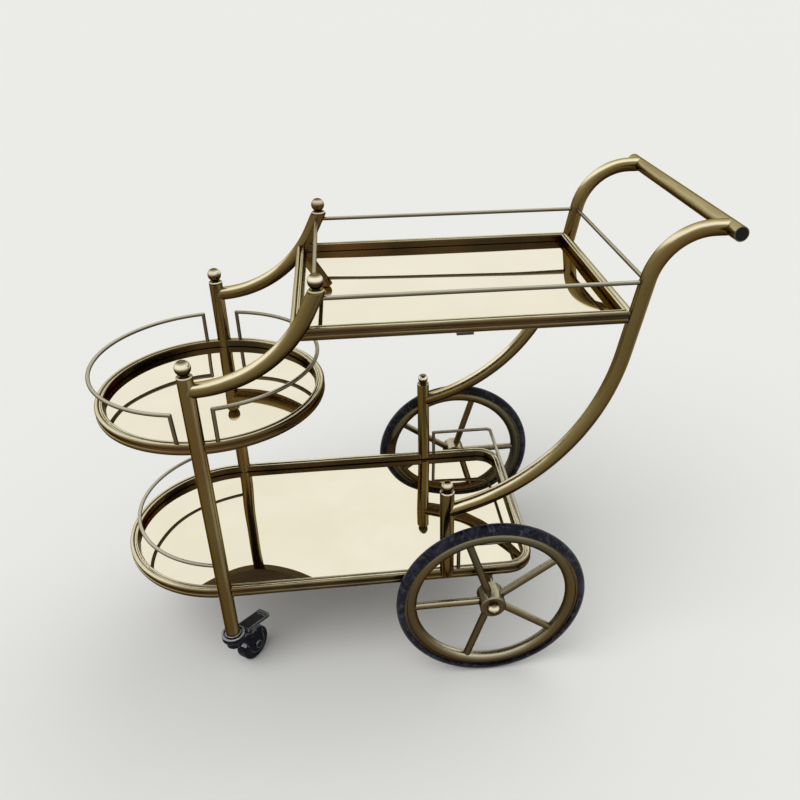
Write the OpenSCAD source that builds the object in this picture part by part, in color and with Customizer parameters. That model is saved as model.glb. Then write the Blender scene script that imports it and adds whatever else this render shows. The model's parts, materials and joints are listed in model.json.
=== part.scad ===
// Three-tier brass serving trolley: tube frame, three mirror trays, two big wheels, two casters.
// Lengths in millimetres. +X points back to the handle, +Z up, origin under the middle of the trolley.

/* [Frame tubes] */
// Outer diameter of every frame tube
tube_d = 22; // [20:0.5:24]
// Wall of every frame tube
tube_wall = 1.5; // [1:0.25:2.5]
// Distance between the left and right tubes, centre to centre
frame_w = 340; // [320:2:360]
// Height of the top of the front posts
front_post_top = 550; // [542:1:557]
// How far the back posts stand behind the front posts
back_post_x = 348; // [335:1:358]
// Height of the top of the back posts
back_post_top = 332; // [325:1:342]
// Height of the foot of the back posts above the underside of the lower rail
back_post_foot = 9; // [6:0.5:11]

/* [Front arcs] */
// Height where each front arc leaves its post
arc_z = 531; // [527:1:535]
// Bend radius of the front arcs
arc_r = 186; // [180:1:192]
// Turn of the front arcs, in degrees
arc_turn = 63; // [61:0.5:65]
// Height of the top of the front arcs
arc_top = 661; // [659:1:669]

/* [Back tubes] */
// Height where each back tube leaves its post
back_z = 299; // [294:1:304]
// Slope of the back tubes where they start, in degrees
back_start_slope = 12; // [10:0.1:14]
// Slope of the back tubes at the upper tray, in degrees
back_steep_slope = 79.3; // [77:0.1:81]
// Radius of the long lower bend
back_bend_r = 316; // [311:1:321]
// Straight length between the two bends
back_straight = 107; // [102:1:112]
// Radius of the upper bend that turns to the handle
back_top_r = 83; // [77:1:89]
// Straight length from the upper bend to the middle of the handle
back_top_straight = 19; // [16:1:30]

/* [Handle] */
// Diameter of the handle bar
handle_d = 20; // [19:0.5:22]
// Length of the handle bar
handle_len = 402; // [390:2:420]
// Depth of the handle's end plugs
plug_depth = 12; // [8:1:20]

/* [Tray rails] */
// Width of a tray rail without its ledge
rail_w = 13; // [12:0.5:14]
// Height of a tray rail
rail_h = 17; // [16:0.5:19]
// How far the rails reach outside the middle of the tubes
rail_overhang = 4; // [2:0.5:5]
// Width of the ledge that carries the mirror
ledge_w = 6; // [5:0.5:8]
// Thickness of the ledge, and of the board under the mirror
ledge_t = 1.5; // [1.25:0.25:2]
// Radius of the outer top bead
outer_bead_r = 4; // [3.5:0.25:4.25]
// Radius of the inner top bead
inner_bead_r = 2; // [1.5:0.25:2.25]
// Radius of the lower side bead
side_bead_r = 3.4; // [3:0.1:3.6]

/* [Mirrors] */
// Thickness of the mirror glass
glass_t = 3; // [2.5:0.5:4]
// Gap between a mirror's edge and the tubes beside it
glass_gap = 0.5; // [0.3:0.1:1]

/* [Trays] */
// Height of the top of the lower tray's rail
lower_top = 181; // [178:1:185]
// How far the lower tray reaches behind the front posts
lower_back_x = 493; // [480:1:505]
// Outer corner radius at the back of the lower tray
lower_corner_r = 45; // [38:1:55]
// Height of the top of the middle tray's rail
middle_top = 448; // [437:1:457]
// Height of the top of the upper tray's rail
upper_top = 612; // [607:1:615]
// How far the upper tray reaches in front of the arcs, at mid rail
upper_front_reach = 6; // [4:0.5:7]
// How far the upper tray's back edge stays in front of the back tubes' middle
upper_back_short = 3; // [1:0.5:5]

/* [Gallery wires] */
// Diameter of the gallery wires
wire_d = 6; // [5:0.5:7]
// Height of the middle tray's front wire above its rail
middle_front_rise = 47; // [42:1:52]
// Height of the middle tray's back wire above its rail
middle_back_rise = 50; // [45:1:55]
// How far the middle tray's front wire stays inside the tray's outer edge
middle_front_inset = 2; // [0:0.5:4]
// How far the middle tray's back wire stays inside the tray's outer edge
middle_back_inset = 7; // [4:0.5:9]
// Distance from a front post to the foot of a middle wire, along the trolley
wire_foot_x = 28; // [24:1:34]
// Height of the lower tray's wires above its rail
lower_rise = 45; // [40:1:50]
// How far the centre of the lower front wire's curve lies behind the front posts
lower_front_shift = 22; // [15:1:30]
// Distance from a back post to the foot of the lower back wire
lower_foot_gap = 19; // [16:1:24]
// How far the lower back wire stays inside the tray's back edge
lower_back_inset = 16; // [12:0.5:19]
// Corner radius of the lower back wire
lower_wire_r = 8; // [6:1:12]
// Height of the upper tray's wires above its rail
upper_rise = 40; // [36:1:44]

/* [Ball finials] */
// Ball on the front posts
front_ball_d = 22; // [20:0.5:24]
// Ball on the front arcs
arc_ball_d = 21; // [19:0.5:23]
// Ball on the back posts
back_ball_d = 18; // [16:0.5:20]
// Height of the collar under a ball
collar_h = 3.5; // [3:0.25:4.5]
// Diameter of the neck between collar and ball
neck_d = 10; // [8:0.5:12]
// Gap that the neck shows between collar and ball
neck_gap = 1.5; // [1:0.25:2]
// Length of the stud that goes down into the tube
stud_len = 8; // [6:0.5:9]

/* [Big wheels] */
// Outer diameter of the big wheels
wheel_d = 300; // [294:2:304]
// How far the big wheels' axle stands in front of the lower tray's back edge
axle_inset = 80; // [68:1:92]
// Distance from the middle of a side tube out to the middle of its wheel
wheel_out = 44; // [42:1:48]
// Width of the tyre
tyre_w = 20; // [18:0.5:22]
// Thickness of the tyre outside the rim
tyre_t = 12.5; // [11:0.25:14]
// Diameter of the rim's round tube
rim_d = 19; // [17:0.5:20]
// Width of the flat band that the tyre sits on
rim_band_w = 14; // [12:0.5:16]
// Number of spokes
spoke_count = 5; // [4:1:8]
// How far the right wheel stands turned on from the left wheel's mirror image, in degrees
right_wheel_turn = 35; // [0:1:71]
// Diameter of a spoke
spoke_d = 12; // [10:0.5:13]
// Diameter of the hub barrel
hub_d = 41; // [38:0.5:44]
// Length of the hub inside the wheel's middle plane
hub_in = 20; // [18:0.5:22]
// Length of the hub outside the wheel's middle plane
hub_out = 18; // [15:0.5:22]
// Diameter of the axle
axle_d = 12; // [10:0.5:14]
// Diameter of the domed nut on each axle end
cap_d = 21; // [19:0.5:23]
// Height of the nut's straight part under its dome
cap_neck_h = 1; // [0.5:0.5:3]

/* [Axle brackets] */
// Thickness of the bracket plates
bracket_t = 4; // [3:0.5:5]
// Length of a bracket along the trolley
bracket_len = 20; // [18:1:30]
// Metal left around the axle in a bracket
bracket_edge = 5; // [4:0.5:7]

/* [Casters] */
// Height of the bottom of the front posts above the floor
caster_h = 85; // [84:1:90]
// Diameter of the caster wheels
caster_d = 58; // [56:1:60]
// Width of the caster wheels
caster_w = 20; // [18:0.5:22]
// Distance from the swivel's middle back to the caster's axle
caster_trail = 38; // [37:0.5:40]
// Direction in which the casters trail, in degrees from straight back
caster_angle = 55; // [0:1:90]
// Diameter of the swivel cup
cup_d = 37; // [35:0.5:39]
// Diameter of the swivel pin
swivel_pin_d = 10; // [8:0.5:11]
// Diameter of the caster's axle
caster_axle_d = 8; // [6:0.5:9]
// Plate thickness of the caster's hood
hood_t = 2.5; // [2:0.25:3]
// Gap between the caster wheel and its hood
hood_gap = 1.5; // [1:0.25:2]
// Radius of the hood's cheeks round the caster's axle
cheek_r = 15; // [13:0.5:17]

/* [Brake pedals] */
// Length from the swivel's middle to the tip of the pedal, along the pedal
pedal_reach = 75; // [73:0.5:78]
// Width of the pedal
pedal_w = 22; // [21:0.5:25]
// Thickness of the pedal's plate
pedal_t = 3.5; // [3:0.5:4.5]
// Slope of the pedal down to its tip, in degrees
pedal_slope = 13; // [11:0.5:14]
// Depth of the skirts along the pedal's sides
pedal_skirt = 3; // [2:0.5:3.5]
// Diameter of the pedal's hinge pin
pedal_pin_d = 4; // [3:0.25:5]

/* [Mirror clips] */
// Length of a clip along the rail
clip_len = 23; // [18:1:30]
// Width of a clip across the rail
clip_w = 20; // [18:0.5:22]
// Thickness of a clip
clip_t = 4; // [3:0.5:5]

/* [Hidden] */
$fn = 64;

LEFT = -1;
RIGHT = 1;
SIDES = [LEFT, RIGHT];

BRASS = [0.80, 0.68, 0.42];
WIRE = [0.72, 0.66, 0.50];
MIRROR = [0.91, 0.88, 0.79];
BOARD = [0.42, 0.30, 0.20];
RUBBER = [0.16, 0.16, 0.19];
CHROME = [0.62, 0.64, 0.68];
BLACK = [0.10, 0.10, 0.11];

weld_gap = 0.1;      // between a coped tube, rail or wire end and the tube that it is welded to
run_gap = 0.05;      // radial gap of a shaft in its bore
face_gap = 0.3;      // between faces that turn against each other
fit_gap = 0.1;       // radial gap between pressed or glued round pieces
past = 1;            // how far a cutting shape runs past what it cuts
handle_lap = 3;       // how far in front of the handle's middle the back tubes end
seam_swell = 0.02;   // how much wider a seam between a bend and a straight run is than both
corner_swell = 0.1;  // how much wider the blob at a wire's sharp corner is than the wire

side_y = frame_w / 2;
tube_r = tube_d / 2;
bore_r = tube_r - tube_wall;
handle_bore_d = handle_d - 2 * tube_wall;
tray_half = side_y + rail_overhang;
rail_reach = rail_w + ledge_w;
middle_front_r = tray_half - middle_front_inset;
middle_back_r = tray_half - middle_back_inset;
axle_x = lower_back_x - axle_inset;
glass_inset = tray_half - (side_y - tube_r - glass_gap);
board_inset = rail_reach + face_gap;
front_reach = max(tray_half, middle_front_r + wire_d / 2);

// Front arc, in the plane of its side: its bend starts level at the post
arc_end_x = arc_r * sin(arc_turn);
arc_end_z = arc_z + arc_r * (1 - cos(arc_turn));
function arc_x(z) =
    z < arc_end_z ? arc_r * sin(acos(1 - (z - arc_z) / arc_r))
                  : arc_end_x + (z - arc_end_z) / tan(arc_turn);

// Back tube, in the plane of its side: long bend, straight, upper bend, level straight
bend_centre = [back_post_x - back_bend_r * sin(back_start_slope),
               back_z + back_bend_r * cos(back_start_slope)];
bend_end = bend_centre + back_bend_r * [sin(back_steep_slope), -cos(back_steep_slope)];
steep_end = bend_end + back_straight * [cos(back_steep_slope), sin(back_steep_slope)];
top_centre = steep_end + back_top_r * [sin(back_steep_slope), -cos(back_steep_slope)];
handle_x = top_centre[0] + back_top_straight;
handle_z = top_centre[1] + back_top_r;
function back_x(z) =
    z < bend_end[1] ? bend_centre[0] + back_bend_r * sin(acos((bend_centre[1] - z) / back_bend_r))
    : z < steep_end[1] ? bend_end[0] + (z - bend_end[1]) / tan(back_steep_slope)
    : top_centre[0] - back_top_r * cos(asin((z - top_centre[1]) / back_top_r));

x_middle = (handle_x + handle_d / 2 - front_reach) / 2;
function hundredth(v) = round(100 * v) / 100;

lower_bottom = lower_top - rail_h;
back_foot_z = lower_bottom + back_post_foot;
upper_bottom = upper_top - rail_h;
upper_front_x = hundredth(arc_x(upper_top - rail_h / 2) - upper_front_reach);
upper_back_x = hundredth(back_x(upper_top - rail_h / 2) - upper_back_short);
wire_z = upper_top + upper_rise;
lower_foot_x = back_post_x + lower_foot_gap;
rail_middle_y = tray_half - rail_w / 2;
body_out = 1.2;
body_in = rail_w - 0.2;
body_h = rail_h - inner_bead_r;
RAIL_BEADS = [
    [outer_bead_r, rail_h - outer_bead_r, outer_bead_r],
    [rail_w - inner_bead_r, body_h - 0.4, inner_bead_r],
    [side_bead_r, side_bead_r + 0.2, side_bead_r]
];

wheel_r = wheel_d / 2;
wheel_y = side_y + wheel_out;
rim_outer_r = wheel_r - tyre_t;
rim_ring_r = rim_outer_r - rim_d / 2;
hub_inner_y = wheel_y - hub_in;
hub_outer_y = wheel_y + hub_out;
bracket_y = rail_middle_y;
bracket_outer_y = bracket_y + bracket_t / 2;
nut_y = hub_outer_y + face_gap;
nut_bore = 5;
axle_half = nut_y + nut_bore;

caster_r = caster_d / 2;
flange_t = 5;
flange_d = 25;
cup_rim_t = 3;
cup_rim_h = 4;
cup_ease = 6;
cup_floor_z = caster_h - flange_t - face_gap;
cup_floor_t = 11;
cup_base_z = cup_floor_z - cup_floor_t;
bridge_t = 9;
bridge_bottom_z = cup_base_z - bridge_t;
pin_head_d = 14;
pin_head_t = 3;
arm_front = pin_head_d / 2 + 1;
cavity_w = caster_w + 2 * face_gap;
hood_w = cavity_w + 2 * hood_t;
hood_r = caster_r + hood_gap + hood_t;
hood_back = 14;
core_r = caster_r * 0.6;
bolt_head_d = caster_axle_d + 5;
bolt_head_t = 2.5;
ear_t = 3;
ear_r = pedal_pin_d / 2 + 2.5;
ear_sink = 3;
lug_w = 10;
hinge_lead = 9;
hinge_over_hood = 4.5;
pedal_hinge_x = caster_trail - hinge_lead;
pedal_hinge_z = caster_r + hood_r + hinge_over_hood;
pedal_rise = ear_r + face_gap;

// Puts a piece of the trolley over the origin, which lies under its middle
module place() {
    translate([-x_middle, 0, 0]) children();
}

// Round bar from one point to another
module rod(from, to, d) {
    run = to - from;
    length = norm(run);
    translate(from) rotate([0, acos(run[2] / length), atan2(run[1], run[0])]) cylinder(d = d, h = length);
}

// Cylinder that lies across, centred on the plane that runs along
module across(x, z, r, width) {
    translate([x, width / 2, z]) rotate([90, 0, 0]) cylinder(r = r, h = width);
}

// Straight run in a plane along the trolley, with a seam where a bend comes before or after it
module run(from, to, d, seams) {
    rod([from[0], 0, from[1]], [to[0], 0, to[1]], d);
    for (seam = seams) translate([seam[0], 0, seam[1]]) sphere(d = d + seam_swell);
}

// Bend in a plane along the trolley: angles run from +X towards +Z
module bend(centre, r, start, turn, d) {
    translate([centre[0], 0, centre[1]])
        rotate([90, 0, 0])
            rotate_extrude(angle = turn, start = start)
                translate([r, 0]) circle(d = d);
}

// Standing tube of the frame, from one height to another
module standing(x, bottom, top, d) {
    translate([x, 0, bottom]) cylinder(d = d, h = top - bottom);
}

// Hollow post with a blind bore that leaves a floor at the bottom
module post(x, bottom, top, floor) {
    color(BRASS) difference() {
        standing(x, bottom, top, tube_d);
        standing(x, bottom + floor, top + past, 2 * bore_r);
    }
}

// Middle line of a front arc as a bar of the given diameter, past its cut top end
module arc_bar(d) {
    past_z = arc_top + tube_d;
    bend([0, arc_z + arc_r], arc_r, 270, arc_turn, d);
    arc_end = [arc_end_x, arc_end_z];
    run(arc_end, [arc_x(past_z), past_z], d, [arc_end]);
}

// Middle line of a back tube as a bar of the given diameter, up to the handle
module back_bar(d) {
    bend(bend_centre, back_bend_r, 270 + back_start_slope, back_steep_slope - back_start_slope, d);
    run(bend_end, steep_end, d, [bend_end, steep_end]);
    bend(top_centre, back_top_r, 90, back_steep_slope, d);
    level_start = [top_centre[0], handle_z];
    run(level_start, [handle_x - handle_lap, handle_z], d, [level_start]);
}

// Front post of one side
module front_post(side) {
    place() translate([0, side * side_y, 0]) post(0, caster_h, front_post_top, -past);
}

// Front arc of one side, coped to its post and cut level at the top
module front_arc(side) {
    color(BRASS) place() translate([0, side * side_y, 0]) difference() {
        arc_bar(tube_d);
        arc_bar(2 * bore_r);
        standing(0, arc_z - tube_d, arc_z + tube_d, tube_d + 2 * weld_gap);
        translate([0, -tube_d, arc_top]) cube([2 * arc_r, 2 * tube_d, 3 * tube_d]);
    }
}

// Short back post of one side
module back_post(side) {
    place() translate([0, side * side_y, 0]) post(back_post_x, back_foot_z, back_post_top, 2 * tube_wall);
}

// Bar in the handle's place, of the given diameter and length
module handle_place(d, length) {
    translate([handle_x, -length / 2, handle_z]) rotate([-90, 0, 0]) cylinder(d = d, h = length);
}

// Back tube of one side, coped to its post and to the handle bar
module back_tube(side) {
    color(BRASS) place() translate([0, side * side_y, 0]) difference() {
        back_bar(tube_d);
        back_bar(2 * bore_r);
        standing(back_post_x, back_z - tube_d, back_z + tube_d, tube_d + 2 * weld_gap);
        handle_place(handle_d + 2 * weld_gap, 3 * tube_d);
    }
}

module handle_bar() {
    color(BRASS) place() difference() {
        handle_place(handle_d, handle_len);
        handle_place(handle_bore_d, handle_len + 2 * past);
    }
}

// Plugs that close the two ends of the handle, set in a little
module handle_plugs() {
    set_in = 0.5;
    color(BLACK) place() difference() {
        handle_place(handle_bore_d - 2 * fit_gap, handle_len - 2 * set_in);
        handle_place(handle_d, handle_len - 2 * set_in - 2 * plug_depth);
    }
}

// Ball on a neck and collar, with a stud that drops into the tube
module finial(ball_d) {
    collar_ease = 1.5;
    ball_r = ball_d / 2;
    ball_z = collar_h + neck_gap + sqrt(ball_r * ball_r - neck_d * neck_d / 4);
    cylinder(d = tube_d, h = collar_h - collar_ease);
    translate([0, 0, collar_h - collar_ease])
        cylinder(d1 = tube_d, d2 = tube_d - 2 * collar_ease, h = collar_ease);
    translate([0, 0, -stud_len]) cylinder(d = neck_d - 1, h = stud_len + collar_h);
    cylinder(d = neck_d, h = ball_z);
    translate([0, 0, ball_z]) sphere(d = ball_d);
}

// The same finial on the left and right tubes
module finial_pair(x, top, ball_d) {
    color(BRASS) place() for (side = SIDES) translate([x, side * side_y, top]) finial(ball_d);
}

// Section of a tray rail: first axis runs inwards from the outer edge, second axis up
module rail_section() {
    translate([body_out, 0]) square([body_in - body_out, body_h]);
    for (bead = RAIL_BEADS) translate([bead[0], bead[1]]) circle(r = bead[2]);
    translate([rail_w / 2, 0]) square([rail_reach - rail_w / 2, ledge_t]);
}

// Rail round part of a circle whose outer edge has the given radius
module rail_turn(r, start, turn) {
    rotate_extrude(angle = turn, start = start) translate([r, 0]) mirror([1, 0]) rail_section();
}

// Straight rail along +X, outer edge on the X axis, tray on its -Y side
module rail_run(length) {
    rotate([90, 0, 90]) linear_extrude(length) mirror([1, 0]) rail_section();
}

// Where the frame's tubes pass through the rails, with the weld gap
module tube_cuts() {
    for (side = SIDES) translate([0, side * side_y, 0]) {
        standing(0, caster_h, front_post_top, tube_d + 2 * weld_gap);
        standing(back_post_x, back_foot_z - weld_gap, back_post_top, tube_d + 2 * weld_gap);
    }
}

module lower_rail() {
    straight = lower_back_x - lower_corner_r;
    color(BRASS) place() difference() {
        translate([0, 0, lower_bottom]) {
            rail_turn(tray_half, 90, 180);
            for (side = SIDES) mirror([0, side == LEFT ? 1 : 0, 0]) {
                translate([0, tray_half, 0]) rail_run(straight);
                translate([straight, tray_half - lower_corner_r, 0]) rail_turn(lower_corner_r, 0, 90);
            }
            translate([lower_back_x, tray_half - lower_corner_r, 0])
                rotate([0, 0, -90]) rail_run(2 * (tray_half - lower_corner_r));
        }
        tube_cuts();
    }
}

// Plan of the lower tray, drawn in from the rail's outer edge
module lower_plan(inset) {
    half = tray_half - inset;
    corner_x = lower_back_x - lower_corner_r;
    corner_y = tray_half - lower_corner_r;
    circle(r = half, $fn = 128);
    translate([0, -half]) square([corner_x, 2 * half]);
    translate([0, -corner_y]) square([lower_back_x - inset, 2 * corner_y]);
    for (side = SIDES) translate([corner_x, side * corner_y]) circle(r = lower_corner_r - inset);
}

// Full ring of the middle rail, before the posts are cut out of it
module middle_ring() {
    translate([0, 0, middle_top - rail_h]) rail_turn(tray_half, 0, 360);
}

module middle_rail() {
    color(BRASS) place() difference() {
        middle_ring();
        tube_cuts();
    }
}

// Corners of the upper tray's plan, drawn in by the given distance
function upper_corners(inset) = [
    [upper_front_x + inset, tray_half - inset], [upper_back_x - inset, tray_half - inset],
    [upper_back_x - inset, inset - tray_half], [upper_front_x + inset, inset - tray_half]
];

// Plan of the upper tray, drawn in from the rail's outer edge
module upper_plan(inset) {
    polygon(upper_corners(inset));
}

// Flat frame of the upper rail, between two distances from its outer edge
module upper_frame(outer, inner, height) {
    linear_extrude(height) difference() {
        upper_plan(outer);
        upper_plan(inner);
    }
}

// Bead round the upper rail, with a ball at each corner
module upper_bead(inset, z, r) {
    corner = upper_corners(inset);
    for (i = [0 : 3]) {
        from = [corner[i][0], corner[i][1], z];
        next = corner[(i + 1) % 4];
        rod(from, [next[0], next[1], z], 2 * r);
        translate(from) sphere(r = r + seam_swell);
    }
}

module upper_rail() {
    color(BRASS) place() difference() {
        translate([0, 0, upper_bottom]) {
            upper_frame(body_out, body_in, body_h);
            upper_frame(rail_w / 2, rail_reach, ledge_t);
            for (bead = RAIL_BEADS) upper_bead(bead[0], bead[1], bead[2]);
        }
        for (side = SIDES) translate([0, side * side_y, 0]) {
            arc_bar(tube_d + 2 * weld_gap);
            back_bar(tube_d + 2 * weld_gap);
        }
    }
}

// Mirror resting on the ledge of a rail whose bottom is at the given height
module mirror_sheet(bottom) {
    color(MIRROR) place() translate([0, 0, bottom + ledge_t]) linear_extrude(glass_t) children();
}

// Board that closes the ledge's opening under a mirror
module board_sheet(bottom) {
    color(BOARD) place() translate([0, 0, bottom]) linear_extrude(ledge_t) children();
}

module lower_mirror() {
    mirror_sheet(lower_bottom) lower_plan(glass_inset);
}

module lower_board() {
    board_sheet(lower_bottom) lower_plan(board_inset);
}

module middle_mirror() {
    mirror_sheet(middle_top - rail_h) circle(r = tray_half - glass_inset, $fn = 128);
}

module middle_board() {
    board_sheet(middle_top - rail_h) circle(r = tray_half - board_inset, $fn = 128);
}

module upper_mirror() {
    mirror_sheet(upper_bottom) upper_plan(glass_inset);
}

module upper_board() {
    board_sheet(upper_bottom) upper_plan(board_inset);
}

// Clips screwed under the upper tray's long rails, which hold its board up
module mirror_clips() {
    edge_inset = 1.5;
    clip_x = (upper_front_x + upper_back_x) / 2;
    clip_y = tray_half - edge_inset - clip_w / 2;
    color(BLACK) place() for (side = SIDES)
        translate([clip_x - clip_len / 2, side * clip_y - clip_w / 2, upper_bottom - clip_t])
            cube([clip_len, clip_w, clip_t]);
}

// Wire legs and the level curve between them, for a curve round the middle tray
module middle_wire(r, rise, way) {
    foot_y = sqrt(pow(rail_middle_y, 2) - wire_foot_x * wire_foot_x);
    lean = atan2(wire_foot_x, foot_y);
    top_z = middle_top + rise;
    span = 180 - 2 * lean;
    color(WIRE) place() {
        for (side = SIDES) {
            foot = [way * wire_foot_x, side * foot_y, middle_top - outer_bead_r];
            top = [way * r * sin(lean), side * r * cos(lean), top_z];
            difference() {
                rod(foot, top, wire_d);
                middle_ring();
            }
            translate(top) sphere(d = wire_d + corner_swell);
        }
        translate([0, 0, top_z])
            rotate_extrude(angle = span, start = (way > 0 ? 270 : 90) + lean)
                translate([r, 0]) circle(d = wire_d);
    }
}

module middle_front_wire() {
    middle_wire(middle_front_r, middle_front_rise, -1);
}

module middle_back_wire() {
    middle_wire(middle_back_r, middle_back_rise, 1);
}

// Wire round the front of the lower tray, from front post to front post
module lower_front_wire() {
    r = norm([side_y, lower_front_shift]);
    half_turn = atan2(side_y, lower_front_shift);
    color(WIRE) place() difference() {
        translate([lower_front_shift, 0, lower_top + lower_rise])
            rotate_extrude(angle = 2 * half_turn, start = 180 - half_turn)
                translate([r, 0]) circle(d = wire_d);
        tube_cuts();
    }
}

// U-shaped wire round the back of the lower tray, with a leg down to each long rail
module lower_back_wire() {
    top_z = lower_top + lower_rise;
    back = lower_back_x - lower_back_inset;
    corner_x = back - lower_wire_r;
    corner_y = rail_middle_y - lower_wire_r;
    color(WIRE) place() {
        for (side = SIDES) {
            y = side * rail_middle_y;
            difference() {
                rod([lower_foot_x, y, lower_top - outer_bead_r], [lower_foot_x, y, top_z], wire_d);
                translate([0, side * tray_half, lower_bottom])
                    mirror([0, side == LEFT ? 1 : 0, 0]) rail_run(lower_back_x);
            }
            translate([lower_foot_x, y, top_z]) sphere(d = wire_d + corner_swell);
            rod([lower_foot_x, y, top_z], [corner_x, y, top_z], wire_d);
            translate([corner_x, side * corner_y, top_z])
                rotate_extrude(angle = 90, start = side == LEFT ? 270 : 0)
                    translate([lower_wire_r, 0]) circle(d = wire_d);
        }
        rod([back, -corner_y, top_z], [back, corner_y, top_z], wire_d);
    }
}

// Straight wire along one side of the upper tray, from arc to back tube
module upper_side_wire(side) {
    color(WIRE) place() translate([0, side * side_y, 0]) difference() {
        rod([arc_x(wire_z), 0, wire_z], [back_x(wire_z), 0, wire_z], wire_d);
        arc_bar(tube_d + 2 * weld_gap);
        back_bar(tube_d + 2 * weld_gap);
    }
}

module upper_front_wire() {
    color(WIRE) place() difference() {
        rod([arc_x(wire_z), -side_y, wire_z], [arc_x(wire_z), side_y, wire_z], wire_d);
        for (side = SIDES) translate([0, side * side_y, 0]) arc_bar(tube_d + 2 * weld_gap);
    }
}

module upper_back_wire() {
    color(WIRE) place() difference() {
        rod([back_x(wire_z), -side_y, wire_z], [back_x(wire_z), side_y, wire_z], wire_d);
        for (side = SIDES) translate([0, side * side_y, 0]) back_bar(tube_d + 2 * weld_gap);
    }
}

// Moves a piece to the left or right end of the axle, its first axis pointing outwards
module axle_end(side) {
    place() translate([axle_x, 0, wheel_r]) rotate([0, 0, side * 90]) rotate([0, 90, 0]) children();
}

module axle() {
    color(CHROME) axle_end(RIGHT) translate([0, 0, -axle_half]) cylinder(d = axle_d, h = 2 * axle_half);
}

// Brackets welded under the lower rail that carry the axle
module axle_brackets() {
    eye_r = axle_d / 2 + bracket_edge;
    color(BRASS) place() for (side = SIDES) translate([axle_x, side * bracket_y, 0]) difference() {
        union() {
            translate([-bracket_len / 2, -bracket_t / 2, wheel_r])
                cube([bracket_len, bracket_t, lower_bottom - wheel_r]);
            across(0, wheel_r, eye_r, bracket_t);
        }
        across(0, wheel_r, axle_d / 2 + fit_gap, 2 * bracket_t);
        translate([-bracket_len, -bracket_t, lower_bottom]) cube([2 * bracket_len, 2 * bracket_t, eye_r]);
    }
}

// Sleeves on the axle that keep the wheels out from the brackets
module axle_sleeves() {
    color(CHROME) for (side = SIDES) axle_end(side) translate([0, 0, bracket_outer_y]) difference() {
        cylinder(d = axle_d + 6, h = hub_inner_y - bracket_outer_y - face_gap);
        translate([0, 0, -past]) cylinder(r = axle_d / 2 + fit_gap, h = hub_inner_y);
    }
}

// Domed nuts that hold the wheels on
module axle_nuts() {
    color(BRASS) for (side = SIDES) axle_end(side) translate([0, 0, nut_y]) difference() {
        union() {
            cylinder(d = cap_d, h = cap_neck_h);
            translate([0, 0, cap_neck_h]) sphere(d = cap_d - 0.5);
        }
        translate([0, 0, -cap_d]) cylinder(d = 2 * cap_d, h = cap_d);
        translate([0, 0, -past]) cylinder(r = axle_d / 2 + fit_gap, h = past + nut_bore + fit_gap);
    }
}

// Round rim with the flat band that carries the tyre
module rim_solid() {
    rotate_extrude($fn = 128) {
        translate([rim_ring_r, 0]) circle(d = rim_d);
        translate([rim_ring_r, -rim_band_w / 2]) square([rim_outer_r - rim_ring_r, rim_band_w]);
    }
}

module wheel_rim(side) {
    color(BRASS) axle_end(side) translate([0, 0, wheel_y]) rim_solid();
}

// Solid tyre with a rounded tread, seated on the rim's band
module wheel_tyre(side) {
    seat_r = rim_outer_r + fit_gap;
    color(RUBBER) axle_end(side) translate([0, 0, wheel_y]) rotate_extrude($fn = 128) difference() {
        translate([wheel_r - tyre_w / 2, 0]) circle(d = tyre_w);
        translate([seat_r - tyre_w, -tyre_w]) square([tyre_w, 2 * tyre_w]);
    }
}

// Spokes from the hub barrel to the rim, the left wheel's first one level and pointing forwards
module wheel_spokes(side) {
    first = 90 + (side == RIGHT ? right_wheel_turn : 0);
    color(BRASS) axle_end(side) translate([0, 0, wheel_y]) difference() {
        for (i = [0 : spoke_count - 1])
            rotate([0, 0, side * (first + i * 360 / spoke_count)]) rotate([0, 90, 0])
                cylinder(d = spoke_d, h = rim_ring_r);
        translate([0, 0, -spoke_d]) cylinder(r = hub_d / 2 + weld_gap, h = 2 * spoke_d);
        rotate_extrude($fn = 128) translate([rim_ring_r, 0]) circle(r = rim_d / 2 + weld_gap);
    }
}

// Barrel hub with a running bore and eased ends
module wheel_hub(side) {
    ease = 2;
    length = hub_in + hub_out;
    color(BRASS) axle_end(side) translate([0, 0, hub_inner_y]) difference() {
        union() {
            translate([0, 0, ease]) cylinder(d = hub_d, h = length - 2 * ease);
            cylinder(d1 = hub_d - 2 * ease, d2 = hub_d, h = ease);
            translate([0, 0, length - ease]) cylinder(d1 = hub_d, d2 = hub_d - 2 * ease, h = ease);
        }
        translate([0, 0, -past]) cylinder(r = axle_d / 2 + run_gap, h = length + 2 * past);
    }
}

// Places a caster under a front post, its first axis pointing the way it trails
module caster_place(side) {
    place() translate([0, side * side_y, 0]) rotate([0, 0, caster_angle]) children();
}

// Stem: plug in the post, flange under it, swivel pin and its riveted head
module caster_stem(side) {
    plug_len = 25;
    head_top = bridge_bottom_z - face_gap;
    color(CHROME) caster_place(side) {
        translate([0, 0, caster_h]) cylinder(r = bore_r - fit_gap, h = plug_len);
        translate([0, 0, caster_h - flange_t]) cylinder(d = flange_d, h = flange_t);
        translate([0, 0, head_top]) cylinder(d = swivel_pin_d, h = caster_h - head_top);
        translate([0, 0, head_top - pin_head_t]) cylinder(d = pin_head_d, h = pin_head_t);
    }
}

// Where a line from a point just touches a circle, on the side given by the turn's sign
function touch(point, middle, r, turn) =
    let (out = point - middle, angle = atan2(out.y, out.x) + turn * acos(r / norm(out)))
    middle + r * [cos(angle), sin(angle)];

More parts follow.
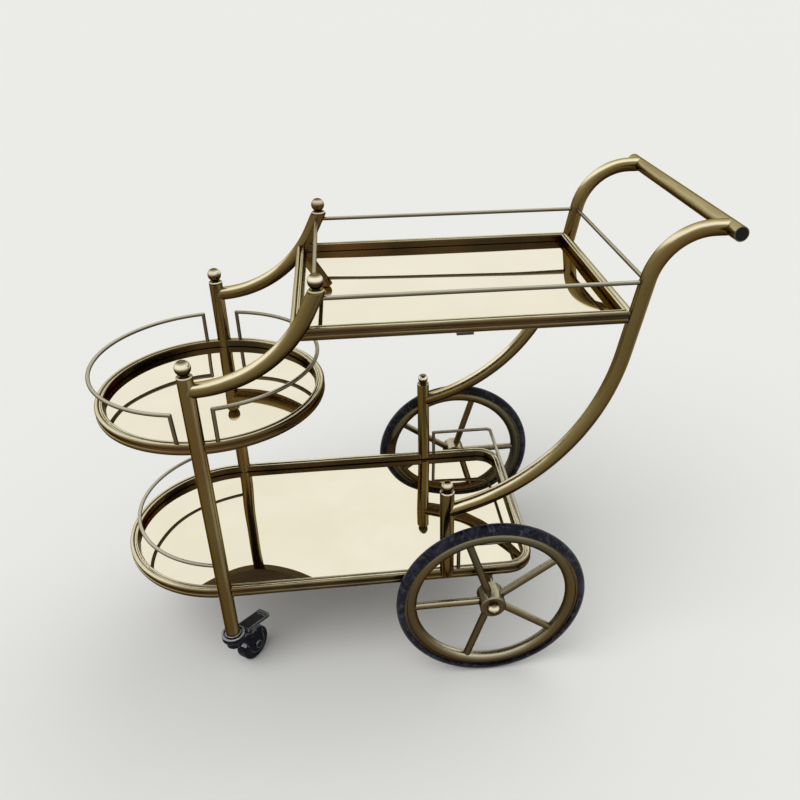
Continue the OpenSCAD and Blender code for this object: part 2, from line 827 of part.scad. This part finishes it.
// Side view of the hood: roof over the wheel, cheek round the axle, arm up to the cup
module hood_outline() {
    cup_r = cup_d / 2;
    axle = [caster_trail, caster_r];
    arm = [arm_front, bridge_bottom_z];
    back = axle + [hood_back, hood_r / 2];
    intersection() {
        translate(axle) circle(r = hood_r);
        translate([0, back.y]) square([back.x, hood_r]);
    }
    translate(axle) circle(r = cheek_r);
    translate([0, bridge_bottom_z]) square([cup_r, bridge_t]);
    polygon([
        arm, [arm_front, cup_base_z], [cup_r, cup_base_z],
        back, touch(back, axle, cheek_r, -1), axle, touch(arm, axle, cheek_r, 1)
    ]);
}

// Ear that holds one end of the pedal's pin, standing on the hood
module pedal_ear() {
    foot_z = caster_r + hood_r - ear_sink;
    across(pedal_hinge_x, pedal_hinge_z, ear_r, ear_t);
    translate([pedal_hinge_x - ear_r, -ear_t / 2, foot_z]) cube([2 * ear_r, ear_t, pedal_hinge_z - foot_z]);
}

// Cup of the swivel, round over the bridge that carries it
module swivel_cup() {
    cup_top = cup_floor_z + cup_rim_h;
    translate([0, 0, cup_base_z + cup_ease]) cylinder(d = cup_d, h = cup_top - cup_base_z - cup_ease);
    translate([0, 0, cup_base_z]) cylinder(d1 = cup_d - 2 * cup_ease, d2 = cup_d, h = cup_ease);
    translate([0, 0, bridge_bottom_z]) cylinder(d = hood_w, h = bridge_t + cup_ease);
}

// Swivelling hood: cup at the top, roof, cheeks and the ears with the pedal's pin
module caster_hood(side) {
    axle_bore_r = caster_axle_d / 2 + run_gap;
    color(CHROME) caster_place(side) difference() {
        union() {
            swivel_cup();
            translate([0, hood_w / 2, 0]) rotate([90, 0, 0]) linear_extrude(hood_w) hood_outline();
            for (flank = SIDES) translate([0, flank * (lug_w / 2 + face_gap + ear_t / 2), 0]) pedal_ear();
            across(pedal_hinge_x, pedal_hinge_z, pedal_pin_d / 2, lug_w + 2 * ear_t);
        }
        translate([0, 0, cup_floor_z]) cylinder(d = cup_d - 2 * cup_rim_t, h = cup_rim_h + past);
        translate([0, 0, bridge_bottom_z - past]) cylinder(r = swivel_pin_d / 2 + run_gap, h = caster_h);
        across(caster_trail, caster_r, caster_r + hood_gap, cavity_w);
        across(caster_trail, caster_r, axle_bore_r, hood_w + 2 * past);
    }
}

// Turns a section round the caster's axle
module across_turn() {
    translate([caster_trail, 0, caster_r]) rotate([90, 0, 0]) rotate_extrude() children();
}

// Rubber tread of a caster wheel, with rounded shoulders
module caster_tyre(side) {
    shoulder = 4;
    seat_r = core_r + fit_gap;
    color(BLACK) caster_place(side) across_turn() {
        translate([seat_r, -caster_w / 2]) square([caster_r - shoulder - seat_r, caster_w]);
        translate([seat_r, shoulder - caster_w / 2]) square([caster_r - seat_r, caster_w - 2 * shoulder]);
        for (edge = SIDES)
            translate([caster_r - shoulder, edge * (caster_w / 2 - shoulder)]) circle(r = shoulder);
    }
}

// Core of a caster wheel with the bore that turns on the axle
module caster_core(side) {
    color(BLACK) caster_place(side) difference() {
        across(caster_trail, caster_r, core_r, caster_w);
        across(caster_trail, caster_r, caster_axle_d / 2 + run_gap, caster_w + 2 * past);
    }
}

// Axle bolt of a caster, with a head outside each cheek
module caster_axle(side) {
    color(CHROME) caster_place(side) {
        across(caster_trail, caster_r, caster_axle_d / 2, hood_w + 2 * bolt_head_t);
        for (flank = SIDES)
            translate([0, flank * (hood_w + bolt_head_t) / 2, 0])
                across(caster_trail, caster_r, bolt_head_d / 2, bolt_head_t);
    }
}

// Brake pedal: plate with two windows and side skirts, a lug on the pin and a shoe over the wheel
module brake_pedal(side) {
    front = cup_d / 2 + 2 - pedal_hinge_x;
    tip = pedal_reach - pedal_hinge_x;
    skirt_t = 2;
    skirt_y = (pedal_w - skirt_t) / 2;
    lip = [3, 1];
    window = [5, 6];
    window_edge = 5;
    window_x = tip - window_edge - window[0];
    window_y = 4.5;
    lug_r = ear_r - 0.5;
    shoe = [4, 12];
    shoe_behind_hood = 5;
    shoe_x = caster_trail + hood_back + shoe_behind_hood - pedal_hinge_x;
    shoe_drop = 3.5;
    color(BLACK) caster_place(side) translate([pedal_hinge_x, 0, pedal_hinge_z]) rotate([0, pedal_slope, 0])
        difference() {
            union() {
                translate([front, -pedal_w / 2, pedal_rise]) cube([tip - front, pedal_w, pedal_t]);
                translate([tip - lip[0], -pedal_w / 2, pedal_rise + pedal_t / 2])
                    cube([lip[0], pedal_w, pedal_t / 2 + lip[1]]);
                for (flank = SIDES)
                    translate([front, flank * skirt_y - skirt_t / 2, pedal_rise - pedal_skirt])
                        cube([tip - front, skirt_t, pedal_skirt + pedal_t / 2]);
                across(0, 0, lug_r, lug_w);
                translate([-lug_r, -lug_w / 2, 0]) cube([2 * lug_r, lug_w, pedal_rise + pedal_t / 2]);
                translate([shoe_x, -shoe[1] / 2, -shoe_drop])
                    cube([shoe[0], shoe[1], shoe_drop + pedal_rise + pedal_t / 2]);
            }
            across(0, 0, pedal_pin_d / 2 + run_gap, lug_w + 2 * past);
            for (flank = SIDES)
                translate([window_x, flank * window_y - window[1] / 2, pedal_rise - past])
                    cube([window[0], window[1], pedal_t + 2 * past]);
        }
}

front_post(LEFT);  // front_post_left
front_post(RIGHT);  // front_post_right
front_arc(LEFT);  // front_arc_left
front_arc(RIGHT);  // front_arc_right
back_post(LEFT);  // back_post_left
back_post(RIGHT);  // back_post_right
back_tube(LEFT);  // back_tube_left
back_tube(RIGHT);  // back_tube_right
handle_bar();
handle_plugs();
finial_pair(0, front_post_top, front_ball_d);  // front_finials
finial_pair(arc_x(arc_top), arc_top, arc_ball_d);  // arc_finials
finial_pair(back_post_x, back_post_top, back_ball_d);  // back_finials
lower_rail();
lower_mirror();
lower_board();
middle_rail();
middle_mirror();
middle_board();
upper_rail();
upper_mirror();
upper_board();
mirror_clips();
middle_front_wire();
middle_back_wire();
lower_front_wire();
lower_back_wire();
upper_side_wire(LEFT);  // upper_left_wire
upper_side_wire(RIGHT);  // upper_right_wire
upper_front_wire();
upper_back_wire();
axle();
axle_brackets();
axle_sleeves();
axle_nuts();
wheel_rim(LEFT);  // wheel_rim_left
wheel_tyre(LEFT);  // wheel_tyre_left
wheel_spokes(LEFT);  // wheel_spokes_left
wheel_hub(LEFT);  // wheel_hub_left
wheel_rim(RIGHT);  // wheel_rim_right
wheel_tyre(RIGHT);  // wheel_tyre_right
wheel_spokes(RIGHT);  // wheel_spokes_right
wheel_hub(RIGHT);  // wheel_hub_right
caster_stem(LEFT);  // caster_stem_left
caster_hood(LEFT);  // caster_hood_left
caster_tyre(LEFT);  // caster_tyre_left
caster_core(LEFT);  // caster_core_left
caster_axle(LEFT);  // caster_axle_left
brake_pedal(LEFT);  // brake_pedal_left
caster_stem(RIGHT);  // caster_stem_right
caster_hood(RIGHT);  // caster_hood_right
caster_tyre(RIGHT);  // caster_tyre_right
caster_core(RIGHT);  // caster_core_right
caster_axle(RIGHT);  // caster_axle_right
brake_pedal(RIGHT);  // brake_pedal_right
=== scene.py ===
import json
from math import radians

import bpy
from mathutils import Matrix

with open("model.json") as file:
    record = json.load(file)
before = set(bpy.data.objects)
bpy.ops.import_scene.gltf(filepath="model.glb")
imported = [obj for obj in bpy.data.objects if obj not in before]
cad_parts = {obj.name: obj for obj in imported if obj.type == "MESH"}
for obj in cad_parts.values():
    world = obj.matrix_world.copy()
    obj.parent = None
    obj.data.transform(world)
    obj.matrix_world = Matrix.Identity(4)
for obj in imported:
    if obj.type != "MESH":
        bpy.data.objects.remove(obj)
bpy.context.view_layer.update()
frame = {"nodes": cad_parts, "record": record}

# Camera, at the photograph's viewing angle
IMAGE_PX = 800
FOCAL_PX = 778.6
CENTRE_PX = (432.4, 415.5)
SENSOR_MM = 36.0
CAMERA_PLACE_M = (-0.0543, -1.100, 1.031)
CAMERA_TURN_DEG = (59.0, 0.29, -6.71)
CAMERA_CLIP_M = 50

# Studio: the world gives less light to rough surfaces than the camera and the metals see of it.
FLOOR = (0.86, 0.86, 0.845)
FLOOR_REACH_M = 40.0
STUDIO = (0.93, 0.93, 0.91)
WORLD_LIGHT = 0.55
WORLD_SEEN = 1.0
LAMPS = (  # name, place it shines from, strength, spread in degrees
    ("key_lamp", (-1.6, -1.4, 3.0), 1.2, 50),
    ("rear_lamp", (1.6, 1.6, 2.6), 0.6, 60),
)

# Colours, written as linear values. Each ramp paints highlight and shade into a finish's colour by how a face
# is turned: it runs from faces that look away from the finish's lit direction (-1) to faces that look along it
# (1); its bright stops are painted highlights and its dark stops painted shade. That direction is straight
# upward unless the finish names its own.
# Tube brass: a cream painted highlight band on faces turned mostly upward, painted shade on sides and
# undersides, and a lighter painted reflection on faces turned straight down.
BRASS = [
    (-1.00, (0.150, 0.100, 0.040)), (-0.75, (0.036, 0.022, 0.008)), (-0.30, (0.040, 0.025, 0.008)),
    (0.00, (0.118, 0.083, 0.028)), (0.36, (0.165, 0.121, 0.045)), (0.54, (0.290, 0.225, 0.096)),
    (0.66, (0.960, 0.880, 0.630)), (0.80, (0.980, 0.890, 0.630)), (0.92, (0.560, 0.465, 0.240)),
    (1.00, (0.420, 0.340, 0.170)),
]
# Handle bar: a broad painted highlight on its upper front face, painted shade below it.
HANDLE = [
    (-1.00, (0.120, 0.092, 0.044)), (-0.20, (0.050, 0.036, 0.016)), (0.30, (0.085, 0.066, 0.030)),
    (0.62, (0.230, 0.190, 0.100)), (0.80, (0.400, 0.340, 0.190)), (0.94, (0.560, 0.490, 0.300)),
    (1.00, (0.470, 0.400, 0.235)),
]
# Balls and axle nuts: a bright painted highlight on faces turned partly upward, painted shade below it, and
# painted dark on faces turned nearly straight upward.
POLISHED_HIGHLIGHTS = [
    (-1.00, (0.110, 0.085, 0.042)), (-0.60, (0.026, 0.018, 0.008)), (-0.05, (0.040, 0.029, 0.013)),
    (0.14, (0.280, 0.230, 0.125)), (0.30, (0.860, 0.800, 0.590)), (0.60, (0.950, 0.910, 0.740)),
    (0.74, (0.480, 0.420, 0.260)), (0.88, (0.120, 0.096, 0.048)), (1.00, (0.240, 0.200, 0.110)),
]
# Tray rails: a bright painted highlight along the bead tops, painted shade on the walls and undersides.
RAIL = [
    (-1.00, (0.090, 0.066, 0.034)), (-0.50, (0.034, 0.023, 0.011)), (0.05, (0.044, 0.030, 0.015)),
    (0.32, (0.098, 0.073, 0.034)), (0.55, (0.175, 0.140, 0.066)), (0.76, (0.440, 0.375, 0.215)),
    (0.90, (0.900, 0.850, 0.650)), (1.00, (0.740, 0.670, 0.460)),
]
# Gallery wires: painted highlight on their upper sides, painted shade beneath.
WIRE = [
    (-1.00, (0.070, 0.060, 0.042)), (-0.20, (0.085, 0.074, 0.052)), (0.40, (0.200, 0.180, 0.130)),
    (0.80, (0.560, 0.530, 0.420)), (1.00, (0.600, 0.570, 0.460)),
]
# Wheel brass: painted highlight on faces turned upward, painted shade on the rest.
WHEEL = [
    (-1.00, (0.050, 0.042, 0.025)), (-0.20, (0.060, 0.051, 0.030)), (0.30, (0.100, 0.086, 0.052)),
    (0.66, (0.250, 0.220, 0.140)), (0.88, (0.640, 0.590, 0.430)), (1.00, (0.520, 0.470, 0.330)),
]
# Caster metal: painted highlight on faces turned upward, nearly black painted shade on the rest.
CHROME = [
    (-1.00, (0.006, 0.006, 0.009)), (0.20, (0.010, 0.011, 0.016)), (0.50, (0.040, 0.042, 0.060)),
    (0.80, (0.420, 0.430, 0.490)), (1.00, (0.800, 0.810, 0.880)),
]
# Axle steel: lighter on faces turned upward and darker on faces turned downward, as painted highlight and
# shade.
STEEL = [(-1.0, (0.16, 0.145, 0.12)), (0.0, (0.26, 0.24, 0.20)), (1.0, (0.50, 0.48, 0.43))]
# Warm brown that varies at random over the brass, laid mostly on faces away from the painted highlight, where
# it deepens the painted shade.
WARM = (0.130, 0.068, 0.020)
# Painted highlight stripe down the upright tubes: its colour, and the direction that the faces it lies on look
# toward.
PAINTED_STRIPE_COLOUR = (0.380, 0.310, 0.170)
PAINTED_STRIPE_FACING = (0.80, -0.60, 0)
BRASS_RIM_TINT = (0.35, 0.30, 0.20)
CASTER_RIM_TINT = (0.35, 0.35, 0.42)
GLASS_CLEAN = (0.92, 0.86, 0.70)
GLASS_SMEARED = (0.86, 0.80, 0.63)
BOARD_PALE = (0.085, 0.058, 0.030)
BOARD_DARK = (0.050, 0.034, 0.018)

UP = (0, 0, 1)
# Lit directions of the handle bar and the rails, which their painted highlights face.
HANDLE_LIT_FACING = (-0.55, 0.0, 0.84)
RAIL_LIT_FACING = (-0.40, 0.10, 0.91)
MIRROR_WAVES = (5.5, 3.2, 0)
MIRROR_WAVE_M = 0.012
BRASS_EDGE_M = 0.0012
METAL_EDGE_M = 0.0014
PLAIN_EDGE_M = 0.0022
EDGE_SAMPLES = 4

# Pieces with a finish of their own: smoother brass with its own painted highlight and shade
POLISHED_HIGHLIGHT_PIECES = ("front_finials", "arc_finials", "back_finials", "axle_nuts")


def make_camera():
    data = bpy.data.cameras.new("camera")
    data.sensor_width = SENSOR_MM
    data.lens = SENSOR_MM * FOCAL_PX / IMAGE_PX
    data.shift_x = 0.5 - CENTRE_PX[0] / IMAGE_PX
    data.shift_y = CENTRE_PX[1] / IMAGE_PX - 0.5
    data.clip_end = CAMERA_CLIP_M
    camera = bpy.data.objects.new("camera", data)
    camera.location = CAMERA_PLACE_M
    camera.rotation_euler = [radians(a) for a in CAMERA_TURN_DEG]
    bpy.context.scene.collection.objects.link(camera)
    bpy.context.scene.camera = camera


class Graph:
    """A material's node graph, with short calls for the nodes used here."""

    def __init__(self, name):
        self.material = bpy.data.materials.new(name)
        self.material.use_nodes = True
        self.tree = self.material.node_tree
        self.tree.nodes.clear()
        self.surface = self.add("ShaderNodeBsdfPrincipled")
        output = self.add("ShaderNodeOutputMaterial")
        self.link(self.surface.outputs["BSDF"], output.inputs["Surface"])
        self.coords = self.add("ShaderNodeTexCoord")

    def add(self, kind, **settings):
        node = self.tree.nodes.new(kind)
        for key, value in settings.items():
            setattr(node, key, value)
        return node

    def link(self, a, b):
        self.tree.links.new(a, b)

    def place(self, scale, shift):
        """Object coordinates, stretched by a scale per axis and then shifted."""
        mapping = self.add("ShaderNodeMapping")
        mapping.inputs["Scale"].default_value = scale
        mapping.inputs["Location"].default_value = shift
        self.link(self.coords.outputs["Object"], mapping.inputs["Vector"])
        return mapping.outputs["Vector"]

    def noise(self, scale, detail=4.0, roughness=0.55, stretch=(1, 1, 1), distortion=0.0, shift=(0, 0, 0)):
        """Noise from 0 to 1, with its scale in features per metre."""
        node = self.add("ShaderNodeTexNoise")
        node.inputs["Scale"].default_value = scale
        node.inputs["Detail"].default_value = detail
        node.inputs["Roughness"].default_value = roughness
        node.inputs["Distortion"].default_value = distortion
        self.link(self.place(stretch, shift), node.inputs["Vector"])
        return node.outputs["Fac"]

    def band(self, value, low, high, out_low=0.0, out_high=1.0):
        """Maps low..high of a value to out_low..out_high, held at both ends."""
        node = self.add("ShaderNodeMapRange")
        self.link(value, node.inputs["Value"])
        for key, number in (("From Min", low), ("From Max", high), ("To Min", out_low), ("To Max", out_high)):
            node.inputs[key].default_value = number
        return node.outputs["Result"]

    def mix(self, share, a, b):
        """Mixes two colours, each a tuple or a socket."""
        node = self.add("ShaderNodeMix", data_type="RGBA")
        self.link(share, node.inputs["Factor"])
        for value, socket in ((a, node.inputs["A"]), (b, node.inputs["B"])):
            if isinstance(value, tuple):
                socket.default_value = (*value, 1.0)
            else:
                self.link(value, socket)
        return node.outputs["Result"]

    def facing(self, direction):
        """How far the surface faces a direction in the piece's own frame, from -1 to 1."""
        node = self.add("ShaderNodeVectorMath", operation="DOT_PRODUCT")
        self.link(self.coords.outputs["Normal"], node.inputs[0])
        node.inputs[1].default_value = direction
        return node.outputs["Value"]

    def math(self, operation, a, b):
        node = self.add("ShaderNodeMath", operation=operation)
        for value, socket in ((a, node.inputs[0]), (b, node.inputs[1])):
            if isinstance(value, (int, float)):
                socket.default_value = value
            else:
                self.link(value, socket)
        return node.outputs["Value"]

    def ramp(self, value, stops):
        """Colour for a value from -1 to 1, through the stops given at their values."""
        node = self.add("ShaderNodeValToRGB")
        self.link(self.band(value, -1.0, 1.0), node.inputs["Fac"])
        points = node.color_ramp.elements
        while len(points) < len(stops):
            points.new(0.5)
        for point, (at, colour) in zip(points, stops):
            point.position = (at + 1) / 2
            point.color = (*colour, 1.0)
        return node.outputs["Color"]

    def edge(self, radius):
        """1 along sharp edges, fading to 0 at the given distance from them."""
        rounded = self.add("ShaderNodeBevel")
        rounded.samples = EDGE_SAMPLES
        rounded.inputs["Radius"].default_value = radius
        geometry = self.add("ShaderNodeNewGeometry")
        node = self.add("ShaderNodeVectorMath", operation="DOT_PRODUCT")
        self.link(rounded.outputs["Normal"], node.inputs[0])
        self.link(geometry.outputs["Normal"], node.inputs[1])
        return self.band(node.outputs["Value"], 0.80, 0.99, 1.0, 0.0)

    def wear(self, colour, worn, radius, amount):
        """Blends a worn colour in along sharp edges, by an amount that varies over the surface."""
        return self.mix(self.math("MULTIPLY", self.edge(radius), amount), colour, worn)

    def bump(self, height, strength, distance):
        """Bump of the given depth in metres."""
        node = self.add("ShaderNodeBump")
        node.inputs["Strength"].default_value = strength
        node.inputs["Distance"].default_value = distance
        self.link(height, node.inputs["Height"])
        self.link(node.outputs["Normal"], self.surface.inputs["Normal"])

    def set(self, **values):
        """Sets inputs of the surface: a number, a colour or a socket each."""
        for key, value in values.items():
            socket = self.surface.inputs[key.replace("_", " ")]
            if isinstance(value, (int, float)):
                socket.default_value = value
            elif isinstance(value, tuple):
                socket.default_value = (*value, 1.0)
            else:
                self.link(value, socket)


def brass(name, stops=BRASS, rough=0.2, painted_stripe=0.0, lit_facing=UP):
    """Brass with painted highlight on faces turned toward its lit direction and painted shade on faces turned
    away, warm brown at random, dark specks and edges rubbed bright.
    """
    g = Graph(name)
    shadow, highlight = stops[1][1], stops[-2][1]
    uneven = g.noise(11, 4, 0.55)
    # Painted light: how far each face looks toward the lit direction, wobbled by noise, picks its highlight or
    # shade from the ramp.
    lit_level = g.math("ADD", g.facing(lit_facing), g.band(uneven, 0.3, 0.7, -0.07, 0.07))
    colour = g.ramp(lit_level, stops)
    # Painted highlight stripe on the sides of upright tubes.
    if painted_stripe:
        level = g.band(g.math("ABSOLUTE", lit_level, 0.0), 0.15, 0.5, painted_stripe, 0.0)
        side = g.band(g.facing(PAINTED_STRIPE_FACING), 0.84, 0.97)
        colour = g.mix(g.math("MULTIPLY", level, side), colour, PAINTED_STRIPE_COLOUR)
    # Warm brown at random, held off the painted highlight so that it deepens the painted shade.
    tint = g.noise(6, 3, 0.5)
    low = g.band(lit_level, 0.3, 0.75, 1.0, 0.15)
    colour = g.mix(g.math("MULTIPLY", g.band(tint, 0.45, 0.7, 0.0, 0.7), low), colour, WARM)
    specks = g.noise(130, 4, 0.7)
    colour = g.mix(g.band(specks, 0.62, 0.75, 0.0, 0.45), colour, shadow)
    colour = g.wear(colour, highlight, BRASS_EDGE_M, g.band(uneven, 0.35, 0.65, 0.0, 0.35))
    scratches = g.noise(260, 3, 0.6)
    g.set(Base_Color=colour, Metallic=1.0, Specular_Tint=BRASS_RIM_TINT)
    g.set(Roughness=g.band(scratches, 0.3, 0.75, rough - 0.05, rough + 0.09))
    g.bump(scratches, 0.05, 0.0003)
    return g.material


def mirror():
    """Slightly warm, slightly wavy mirror glass with faint wipe marks."""
    g = Graph("mirror")
    smear = g.noise(7, 5, 0.6)
    g.set(Base_Color=g.mix(g.band(smear, 0.35, 0.75), GLASS_CLEAN, GLASS_SMEARED), Metallic=1.0)
    g.set(Roughness=g.band(smear, 0.45, 0.8, 0.008, 0.035))
    g.bump(g.noise(3, 1, 0.4, shift=MIRROR_WAVES), 1.0, MIRROR_WAVE_M)
    return g.material


def rubber(name, dark, worn, rough, vein_scale, gloss):
    """Rubber with pale scuffs and dusty veins."""
    g = Graph(name)
    cloud = g.noise(vein_scale, 6, 0.65, distortion=0.8)
    veins = g.band(g.math("ABSOLUTE", g.band(cloud, 0.0, 1.0, -0.5, 0.5), 0.0), 0.0, 0.03, 0.75, 0.0)
    dust = g.noise(vein_scale * 4, 4, 0.6)
    colour = g.mix(g.band(cloud, 0.54, 0.74, 0.0, 0.6), dark, worn)
    colour = g.mix(g.math("MULTIPLY", veins, g.band(dust, 0.4, 0.6)), colour, worn)
    colour = g.mix(g.band(dust, 0.62, 0.85, 0.0, 0.5), colour, worn)
    g.set(Base_Color=colour, Roughness=g.band(cloud, 0.4, 0.7, rough - 0.1, rough + 0.12))
    g.set(Specular_IOR_Level=gloss)
    g.bump(dust, 0.25, 0.0008)
    return g.material


def metal(name, stops, rough, worn, metallic=1.0, gloss=0.5, tint=(1, 1, 1)):
    """Plated metal with painted highlight on faces turned upward and painted shade below, dull patches, rubbed
    pale along its edges.
    """
    g = Graph(name)
    patches = g.noise(40, 5, 0.6)
    specks = g.noise(180, 4, 0.7)
    # Painted highlight on faces turned upward and painted shade below, from the ramp; the patches shift where
    # it falls and also dull the gloss.
    colour = g.ramp(g.math("ADD", g.facing(UP), g.band(patches, 0.3, 0.7, -0.25, 0.25)), stops)
    colour = g.mix(g.band(specks, 0.62, 0.78, 0.0, 0.35), colour, worn)
    colour = g.wear(colour, worn, METAL_EDGE_M, g.band(patches, 0.35, 0.6, 0.1, 1.0))
    g.set(Base_Color=colour, Metallic=metallic, Roughness=g.band(patches, 0.35, 0.7, rough, rough + 0.18))
    g.set(Specular_IOR_Level=gloss, Specular_Tint=tint)
    g.bump(g.noise(220, 2), 0.05, 0.0003)
    return g.material


def plain(name, colour, shade, rough, scale, worn=None, gloss=0.3):
    """Painted or moulded surface with a slight mottle, rubbed along its edges if a worn colour is given."""
    g = Graph(name)
    mottle = g.noise(scale, 5, 0.6)
    base = g.mix(g.band(mottle, 0.3, 0.7), colour, shade)
    if worn:
        base = g.wear(base, worn, PLAIN_EDGE_M, g.band(mottle, 0.3, 0.6, 0.4, 1.0))
    g.set(Base_Color=base, Roughness=g.band(mottle, 0.3, 0.7, rough - 0.06, rough + 0.08))
    g.set(Specular_IOR_Level=gloss)
    g.bump(mottle, 0.12, 0.0004)
    return g.material


def board():
    """Brown fibre board with fine grain along the tray."""
    g = Graph("board")
    grain = g.noise(30, 6, 0.6, (0.6, 8, 1))
    g.set(Base_Color=g.mix(g.band(grain, 0.3, 0.7), BOARD_PALE, BOARD_DARK))
    g.set(Roughness=g.band(grain, 0.3, 0.7, 0.65, 0.8), Specular_IOR_Level=0.1)
    g.bump(grain, 0.2, 0.0006)
    return g.material


def make_materials():
    return {
        "tube_brass": brass("tube_brass", rough=0.18, painted_stripe=0.6),
        "handle_brass": brass("handle_brass", HANDLE, 0.26, lit_facing=HANDLE_LIT_FACING),
        "ball_brass": brass("ball_brass", POLISHED_HIGHLIGHTS, 0.1),
        "rail_brass": brass("rail_brass", RAIL, lit_facing=RAIL_LIT_FACING),
        "wire_brass": brass("wire_brass", WIRE, 0.3),
        "wheel_brass": brass("wheel_brass", WHEEL, 0.28),
        "mirror": mirror(),
        "board": board(),
        "axle_steel": metal("axle_steel", STEEL, 0.3, (0.55, 0.53, 0.48)),
        "tyre": rubber("tyre", (0.004, 0.004, 0.010), (0.075, 0.075, 0.105), 0.34, 24, 0.11),
        "caster_metal": metal("caster_metal", CHROME, 0.18, (0.78, 0.79, 0.86), 0.5, 0.12, CASTER_RIM_TINT),
        "caster_rubber": rubber("caster_rubber", (0.003, 0.003, 0.005), (0.018, 0.019, 0.024), 0.45, 40, 0.08),
        "caster_plastic": plain("caster_plastic", (0.010, 0.010, 0.012), (0.02, 0.02, 0.022), 0.45, 60),
        "pedal_black": plain("pedal_black", (0.010, 0.010, 0.013), (0.028, 0.029, 0.035), 0.35, 70,
                             (0.80, 0.80, 0.85)),
        "plug_black": plain("plug_black", (0.003, 0.003, 0.003), (0.009, 0.009, 0.006), 0.35, 60, gloss=0.12),
        "clip_metal": plain("clip_metal", (0.016, 0.014, 0.010), (0.035, 0.027, 0.018), 0.4, 60,
                            (0.10, 0.09, 0.07)),
    }


def dress(materials):
    """Gives every CAD node the finish of its slot, or one of its own."""
    slots = {part["node"]: part["material_slot"] for part in frame["record"]["subparts"]}
    # The balls, axle nuts and handle bar get brass of their own, with its own painted highlight and shade.
    slots.update({name: "ball_brass" for name in POLISHED_HIGHLIGHT_PIECES}, handle_bar="handle_brass")
    for name, obj in frame["nodes"].items():
        obj.data.materials.clear()
        obj.data.materials.append(materials[slots[name]])


def make_stage():
    mesh = bpy.data.meshes.new("floor")
    r = FLOOR_REACH_M
    corners = [(-r, -r, 0), (r, -r, 0), (r, r, 0), (-r, r, 0)]
    mesh.from_pydata(corners, [], [(0, 1, 2, 3)])
    floor = bpy.data.objects.new("floor", mesh)
    bpy.context.scene.collection.objects.link(floor)
    g = Graph("floor")
    g.set(Base_Color=FLOOR, Roughness=0.9, Specular_IOR_Level=0.1)
    mesh.materials.append(g.material)


def make_world():
    """Even pale studio: plain light on the object, and a pale room where the camera and metal see it."""
    world = bpy.data.worlds.new("studio")
    bpy.context.scene.world = world
    world.use_nodes = True
    tree = world.node_tree
    background = tree.nodes["Background"]
    background.inputs["Color"].default_value = (*STUDIO, 1.0)
    path = tree.nodes.new("ShaderNodeLightPath")
    seen = path.outputs["Is Camera Ray"]
    for kind in ("Is Glossy Ray", "Is Transmission Ray"):
        either = tree.nodes.new("ShaderNodeMath")
        either.operation = "MAXIMUM"
        tree.links.new(seen, either.inputs[0])
        tree.links.new(path.outputs[kind], either.inputs[1])
        seen = either.outputs[0]
    level = tree.nodes.new("ShaderNodeMapRange")
    level.inputs["To Min"].default_value = WORLD_LIGHT
    level.inputs["To Max"].default_value = WORLD_SEEN
    tree.links.new(seen, level.inputs["Value"])
    tree.links.new(level.outputs["Result"], background.inputs["Strength"])


def studio_lamp(name, place, strength, spread):
    """Wide soft lamp, unseen in the mirrors, shining from its place to the origin."""
    data = bpy.data.lights.new(name, "SUN")
    data.energy = strength
    data.angle = radians(spread)
    lamp = bpy.data.objects.new(name, data)
    lamp.visible_glossy = False
    lamp.location = place
    lamp.rotation_euler = (-lamp.location).to_track_quat("-Z", "Y").to_euler()
    bpy.context.scene.collection.objects.link(lamp)


make_camera()
dress(make_materials())
make_stage()
make_world()
for lamp in LAMPS:
    studio_lamp(*lamp)

bpy.context.scene.view_settings.view_transform = "Standard"
